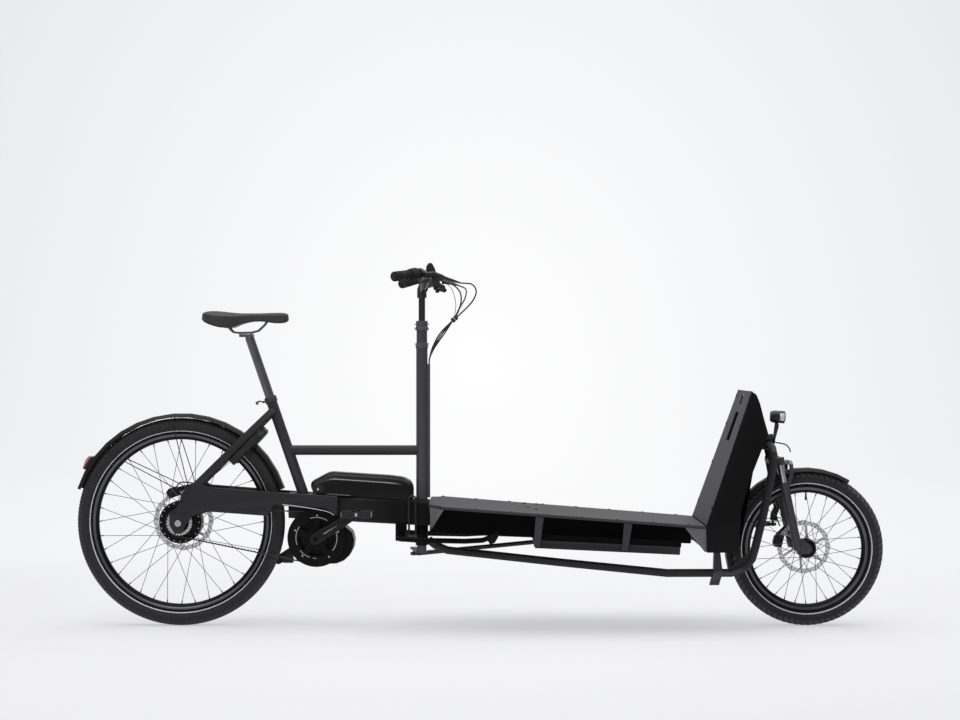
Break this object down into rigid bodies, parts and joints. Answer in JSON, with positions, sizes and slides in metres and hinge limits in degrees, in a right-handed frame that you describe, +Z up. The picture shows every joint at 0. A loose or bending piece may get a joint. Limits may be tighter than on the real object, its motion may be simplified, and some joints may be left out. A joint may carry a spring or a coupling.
{
  "type": "cargo bicycle",
  "caption": "Long cargo bicycle with a low load bed and leaning bulkhead between the rider and a small front wheel, rod steering, belt drive and a frame battery.",
  "frame": {"origin": "on the ground, under the middle of the overall length and width", "axes": "+X forward along the bicycle, +Y to the rider's left, +Z up"},
  "size_m": [2.696, 0.6252, 1.212],
  "materials": {
    "matt_paint": "matt black powder coat",
    "bed_paint": "matt dark grey powder coat",
    "rubber": "matt black rubber",
    "tyre": "matt black tyre rubber",
    "plastic": "satin black moulded plastic",
    "alloy": "brushed",
    "dark_alloy": "black anodised",
    "steel": "ground",
    "lens": "clear red lens"
  },
  "bodies": {
    "frame": {"main_beam": "matt_paint", "chainstay_right": "matt_paint", "chainstay_left": "matt_paint", "upper_frame": "matt_paint", "seat_stays": "matt_paint", "bed_beam": "matt_paint", "bed_panel": "bed_paint", "bed_braces": "matt_paint", "bulkhead_panel": "bed_paint", "bulkhead_cheeks": "matt_paint", "head_tube": "matt_paint", "rail_tube": "matt_paint", "motor_housing": "plastic", "rear_axle": "steel", "drive_belt": "rubber", "rear_calliper": "dark_alloy", "rear_mudguard": "plastic", "rear_light": "lens", "ring_lock": "plastic"},
    "rear_wheel": {"rear_tyre": "tyre", "rear_rim": "dark_alloy", "rear_spokes": "steel", "rear_hub": "dark_alloy", "rear_rotor": "steel"},
    "rear_cog": {"rear_sprocket": "alloy"},
    "crank": {"crank_arms": "dark_alloy", "front_sprocket": "dark_alloy"},
    "right_pedal": {"pedal_right": "plastic"},
    "left_pedal": {"pedal_left": "plastic"},
    "seat": {"seatpost": "dark_alloy", "saddle_rails": "steel", "saddle": "rubber"},
    "clamp_lever": {"seat_lever": "dark_alloy"},
    "battery_case": {"battery": "plastic"},
    "column": {"column_steerer": "matt_paint", "frame_hoses": "rubber"},
    "cockpit": {"stem_tube": "alloy", "handlebar": "dark_alloy", "grip_right": "rubber", "grip_left": "rubber", "perch_right": "plastic", "perch_left": "plastic", "display": "plastic", "cockpit_hoses": "rubber"},
    "shifter": {"twist_shifter": "rubber"},
    "right_lever": {"brake_lever_right": "dark_alloy"},
    "left_lever": {"brake_lever_left": "dark_alloy"},
    "rod": {"steering_rod": "dark_alloy"},
    "fork": {"fork_crown": "dark_alloy"},
    "lowers": {"fork_lowers": "matt_paint", "front_calliper": "dark_alloy", "front_mudguard": "plastic"},
    "front_wheel": {"front_tyre": "tyre", "front_rim": "dark_alloy", "front_spokes": "steel", "front_hub": "dark_alloy", "front_rotor": "steel"},
    "front_light": {"headlight": "plastic"},
    "stand": {"stand_legs": "matt_paint"},
    "bail": {"stand_bail": "matt_paint"}
  },
  "joints": [
    {"name": "rear_wheel_spin", "type": "hinge", "parent": "frame", "child": "rear_wheel", "pos_m": [-1.001, 0, 0.347], "axis": [0, 1, 0], "continuous": true},
    {"name": "rear_sprocket_spin", "type": "hinge", "parent": "frame", "child": "rear_cog", "pos_m": [-1.001, 0, 0.347], "axis": [0, 1, 0], "continuous": true},
    {"name": "crank_spin", "type": "hinge", "parent": "frame", "child": "crank", "pos_m": [-0.545, 0, 0.2965], "axis": [0, 1, 0], "continuous": true},
    {"name": "pedal_right_spin", "type": "hinge", "parent": "crank", "child": "right_pedal", "pos_m": [-0.40477, -0.085, 0.38345], "axis": [0, 1, 0], "continuous": true},
    {"name": "pedal_left_spin", "type": "hinge", "parent": "crank", "child": "left_pedal", "pos_m": [-0.68523, 0.085, 0.20955], "axis": [0, 1, 0], "continuous": true},
    {"name": "seatpost_height", "type": "slide", "parent": "frame", "child": "seat", "axis": [-0.3256, 0, 0.9455], "range_m": [-0.06, 0.06]},
    {"name": "seat_lever_turn", "type": "hinge", "parent": "frame", "child": "clamp_lever", "pos_m": [-0.7257, 0, 0.7471], "axis": [0, 1, 0], "range_deg": [0, 60]},
    {"name": "battery_lift", "type": "slide", "parent": "frame", "child": "battery_case", "axis": [0, 0, 1], "range_m": [0, 0.05]},
    {"name": "steering", "type": "hinge", "parent": "frame", "child": "column", "pos_m": [-0.196, 0, 0.937], "axis": [0, 0, 1], "range_deg": [-30, 30], "deforming": ["frame_hoses"]},
    {"name": "stem_height", "type": "slide", "parent": "column", "child": "cockpit", "axis": [0, 0, 1], "range_m": [-0.06, 0.06], "deforming": ["cockpit_hoses"]},
    {"name": "shifter_twist", "type": "hinge", "parent": "cockpit", "child": "shifter", "pos_m": [-0.208, -0.188, 1.168], "axis": [-0.5042, -0.8577, -0.1008], "range_deg": [-60, 60]},
    {"name": "brake_right_pull", "type": "hinge", "parent": "cockpit", "child": "right_lever", "pos_m": [-0.1579, -0.1766, 1.1618], "axis": [0, 0, -1], "range_deg": [0, 12], "stiffness_Nm_per_rad": 1.5, "springref_deg": -17.19},
    {"name": "brake_left_pull", "type": "hinge", "parent": "cockpit", "child": "left_lever", "pos_m": [-0.1579, 0.1766, 1.1618], "axis": [0, 0, 1], "range_deg": [0, 12], "stiffness_Nm_per_rad": 1.5, "springref_deg": -17.19},
    {"name": "rod_yaw", "type": "hinge", "parent": "column", "child": "rod", "pos_m": [-0.226, 0.1, 0.23], "axis": [0, -0.017, 0.9999], "range_deg": [-31, 31]},
    {"name": "fork_steer", "type": "hinge", "parent": "frame", "child": "fork", "pos_m": [0.9727, 0, 0.5747], "axis": [-0.2079, 0, 0.9781], "range_deg": [-31, 31]},
    {"name": "fork_travel", "type": "slide", "parent": "fork", "child": "lowers", "axis": [-0.2079, 0, 0.9781], "range_m": [0, 0.03], "stiffness_N_per_m": 15000, "springref_m": -0.02},
    {"name": "front_wheel_spin", "type": "hinge", "parent": "lowers", "child": "front_wheel", "pos_m": [1.09, 0, 0.258], "axis": [0, 1, 0], "continuous": true},
    {"name": "headlight_tilt", "type": "hinge", "parent": "frame", "child": "front_light", "pos_m": [0.9927, 0, 0.6707], "axis": [0, 1, 0], "range_deg": [-10, 10]},
    {"name": "stand_swing", "type": "hinge", "parent": "frame", "child": "stand", "pos_m": [-0.265, 0, 0.3], "axis": [0, 1, 0], "range_deg": [0, 80]},
    {"name": "bail_swing", "type": "hinge", "parent": "frame", "child": "bail", "pos_m": [-0.226, -0.058, 0.304], "axis": [1, 0, 0], "range_deg": [0, 70]}
  ],
  "couplings": [
    {"joint": "rear_sprocket_spin", "follows": "crank_spin", "ratio": 1.9231},
    {"joint": "rod_yaw", "follows": "steering", "ratio": -1},
    {"joint": "fork_steer", "follows": "steering", "ratio": 1}
  ]
}
